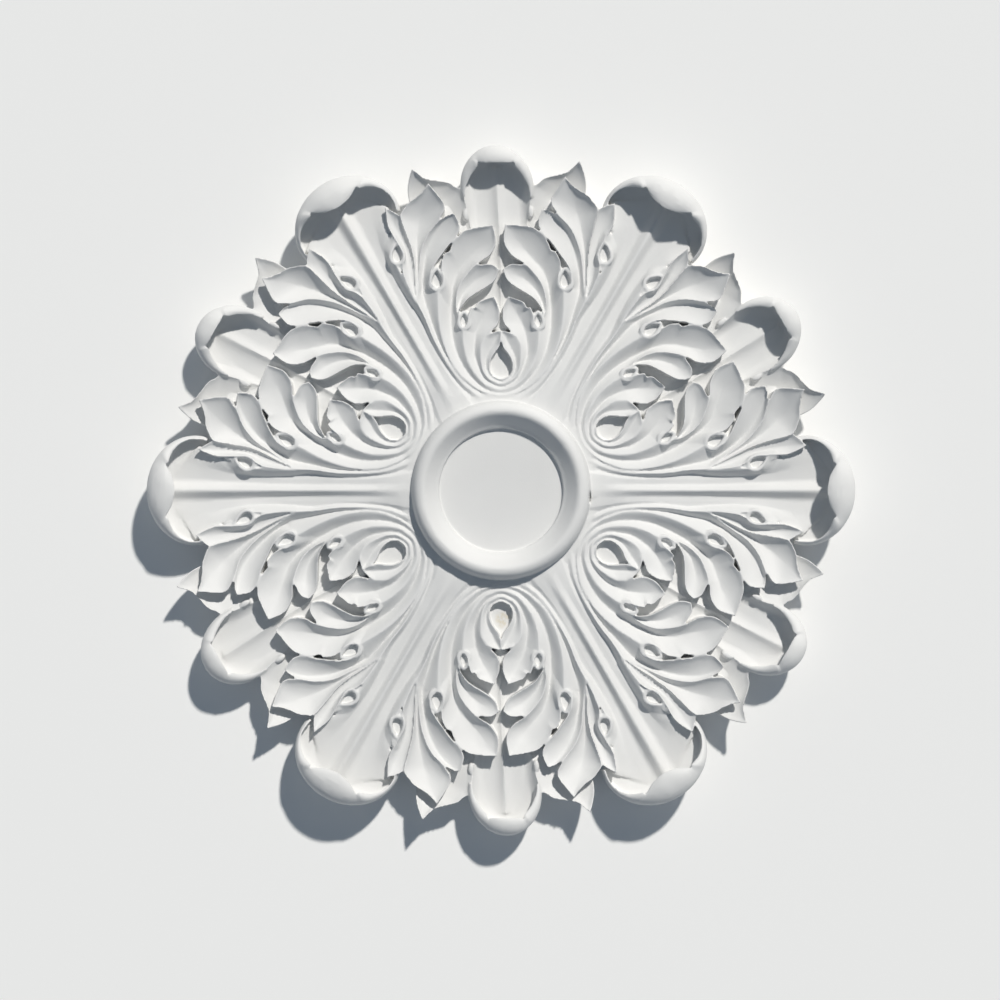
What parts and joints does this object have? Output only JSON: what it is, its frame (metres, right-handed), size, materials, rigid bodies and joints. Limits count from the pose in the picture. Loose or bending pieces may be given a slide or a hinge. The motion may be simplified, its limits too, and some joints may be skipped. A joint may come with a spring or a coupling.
{
  "type": "ceiling rose",
  "caption": "Round moulded ceiling rose of curling acanthus leaves around a half-round ring and a flat centre disc for a lamp fitting.",
  "frame": {"origin": "centre of the flat back face, which lies against the ceiling", "axes": "+Z out of the carved face, away from the ceiling; +X along one main leaf; +Y along a lesser leaf"},
  "size_m": [0.706, 0.69, 0.062],
  "materials": {
    "casting": "matt white primer on moulded polyurethane"
  },
  "bodies": {
    "root": {"ceiling_rose": "casting"}
  },
  "joints": []
}
